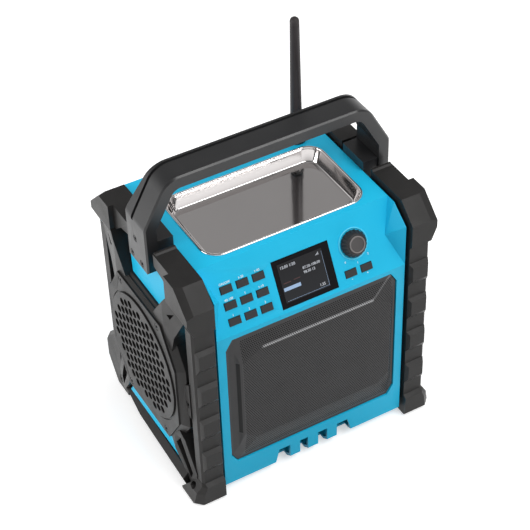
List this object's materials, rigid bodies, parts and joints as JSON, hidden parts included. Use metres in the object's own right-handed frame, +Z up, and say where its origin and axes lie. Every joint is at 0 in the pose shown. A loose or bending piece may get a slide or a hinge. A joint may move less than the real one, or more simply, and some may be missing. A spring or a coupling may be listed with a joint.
{
  "type": "jobsite radio",
  "caption": "Rugged portable jobsite radio with side crash guards, round side grilles, carrying handle, steel tool tray, tilted control panel, folding antenna and battery door.",
  "frame": {"origin": "on the ground, under the middle of the radio's whole footprint", "axes": "+Z up, +Y to the back, +X to the right as the user faces the front"},
  "size_m": [0.2768, 0.222, 0.413],
  "materials": {
    "antenna_rubber": "matt",
    "board_green": "circuit board",
    "cone_black": "paper and rubber",
    "flap_rubber": "matt",
    "grille_black": "perforated sheet, satin black",
    "guard_black": "fine textured",
    "handle_black": "satin",
    "housing_blue": "satin moulded",
    "key_rubber": "matt",
    "knob_black": "fluted",
    "lcd": "display",
    "lens_black": "clear over black",
    "plain_steel": "turned",
    "ring_grey": "satin",
    "rubber_foot": "matt",
    "screw_steel": "blackened",
    "steel_tray": "polished"
  },
  "bodies": {
    "housing": {"antenna_pin": "plain_steel", "antenna_socket": "handle_black", "battery_terminal": "handle_black", "charge_socket": "plain_steel", "display_board": "board_green", "display_lens": "lens_black", "display_module": "lcd", "foot_pads": "rubber_foot", "front_driver": "cone_black", "front_grille": "grille_black", "guard_left": "guard_black", "guard_right": "guard_black", "guard_screws": "screw_steel", "handle": "handle_black", "handle_brackets": "handle_black", "handle_screws": "screw_steel", "housing_front": "housing_blue", "housing_rear": "housing_blue", "knob_encoder": "plain_steel", "knob_ring": "ring_grey", "latch_screw": "screw_steel", "main_board": "board_green", "menu_board": "board_green", "plate_screws": "screw_steel", "power_inlet": "plain_steel", "preset_board": "board_green", "shell_screws": "screw_steel", "side_driver_left": "cone_black", "side_driver_right": "cone_black", "side_plate_left": "guard_black", "side_plate_right": "guard_black", "tool_tray": "steel_tray"},
    "knob": {"tuning_knob": "knob_black", "knob_cap": "knob_black", "knob_shaft": "plain_steel"},
    "antenna": {"antenna_ferrule": "handle_black", "antenna_sheath": "antenna_rubber"},
    "door": {"battery_door": "handle_black", "door_hinge_pins": "plain_steel"},
    "latch": {"door_latch": "handle_black"},
    "flap": {"inlet_flap": "flap_rubber"},
    "menu_button_1_body": {"menu_button_1": "key_rubber"},
    "menu_button_2_body": {"menu_button_2": "key_rubber"},
    "menu_button_3_body": {"menu_button_3": "key_rubber"},
    "menu_button_4_body": {"menu_button_4": "key_rubber"},
    "menu_button_5_body": {"menu_button_5": "key_rubber"},
    "menu_button_6_body": {"menu_button_6": "key_rubber"},
    "menu_button_7_body": {"menu_button_7": "key_rubber"},
    "menu_button_8_body": {"menu_button_8": "key_rubber"},
    "menu_button_9_body": {"menu_button_9": "key_rubber"},
    "preset_button_1_body": {"preset_button_1": "key_rubber"},
    "preset_button_2_body": {"preset_button_2": "key_rubber"}
  },
  "joints": [
    {"name": "menu_button_1_press", "type": "slide", "parent": "housing", "child": "menu_button_1_body", "axis": [0, 0.8861, -0.4636], "range_m": [0, 0.001], "stiffness_N_per_m": 900, "springref_m": -0.0004},
    {"name": "menu_button_2_press", "type": "slide", "parent": "housing", "child": "menu_button_2_body", "axis": [0, 0.8861, -0.4636], "range_m": [0, 0.001], "stiffness_N_per_m": 900, "springref_m": -0.0004},
    {"name": "menu_button_3_press", "type": "slide", "parent": "housing", "child": "menu_button_3_body", "axis": [0, 0.8861, -0.4636], "range_m": [0, 0.001], "stiffness_N_per_m": 900, "springref_m": -0.0004},
    {"name": "menu_button_4_press", "type": "slide", "parent": "housing", "child": "menu_button_4_body", "axis": [0, 0.8861, -0.4636], "range_m": [0, 0.001], "stiffness_N_per_m": 900, "springref_m": -0.0004},
    {"name": "menu_button_5_press", "type": "slide", "parent": "housing", "child": "menu_button_5_body", "axis": [0, 0.8861, -0.4636], "range_m": [0, 0.001], "stiffness_N_per_m": 900, "springref_m": -0.0004},
    {"name": "menu_button_6_press", "type": "slide", "parent": "housing", "child": "menu_button_6_body", "axis": [0, 0.8861, -0.4636], "range_m": [0, 0.001], "stiffness_N_per_m": 900, "springref_m": -0.0004},
    {"name": "menu_button_7_press", "type": "slide", "parent": "housing", "child": "menu_button_7_body", "axis": [0, 0.8861, -0.4636], "range_m": [0, 0.001], "stiffness_N_per_m": 900, "springref_m": -0.0004},
    {"name": "menu_button_8_press", "type": "slide", "parent": "housing", "child": "menu_button_8_body", "axis": [0, 0.8861, -0.4636], "range_m": [0, 0.001], "stiffness_N_per_m": 900, "springref_m": -0.0004},
    {"name": "menu_button_9_press", "type": "slide", "parent": "housing", "child": "menu_button_9_body", "axis": [0, 0.8861, -0.4636], "range_m": [0, 0.001], "stiffness_N_per_m": 900, "springref_m": -0.0004},
    {"name": "preset_button_1_press", "type": "slide", "parent": "housing", "child": "preset_button_1_body", "axis": [0, 0.8861, -0.4636], "range_m": [0, 0.001], "stiffness_N_per_m": 900, "springref_m": -0.0004},
    {"name": "preset_button_2_press", "type": "slide", "parent": "housing", "child": "preset_button_2_body", "axis": [0, 0.8861, -0.4636], "range_m": [0, 0.001], "stiffness_N_per_m": 900, "springref_m": -0.0004},
    {"name": "knob_turn", "type": "hinge", "parent": "housing", "child": "knob", "pos_m": [0.055, -0.08573, 0.24301], "axis": [0, -0.8861, 0.4636], "continuous": true},
    {"name": "antenna_fold", "type": "hinge", "parent": "housing", "child": "antenna", "pos_m": [0.074, 0.0495, 0.2816], "axis": [0, 1, 0], "range_deg": [-90, 0]},
    {"name": "door_open", "type": "hinge", "parent": "housing", "child": "door", "pos_m": [-0.0825, 0.0864, 0.118], "axis": [0, 0, 1], "range_deg": [0, 110]},
    {"name": "latch_turn", "type": "hinge", "parent": "housing", "child": "latch", "pos_m": [0.063, 0.0843, 0.118], "axis": [0, -1, 0], "range_deg": [0, 90]},
    {"name": "flap_open", "type": "hinge", "parent": "housing", "child": "flap", "pos_m": [0.0672, 0.0835, 0.059], "axis": [0, 0, 1], "range_deg": [0, 120], "stiffness_Nm_per_rad": 0.004}
  ]
}
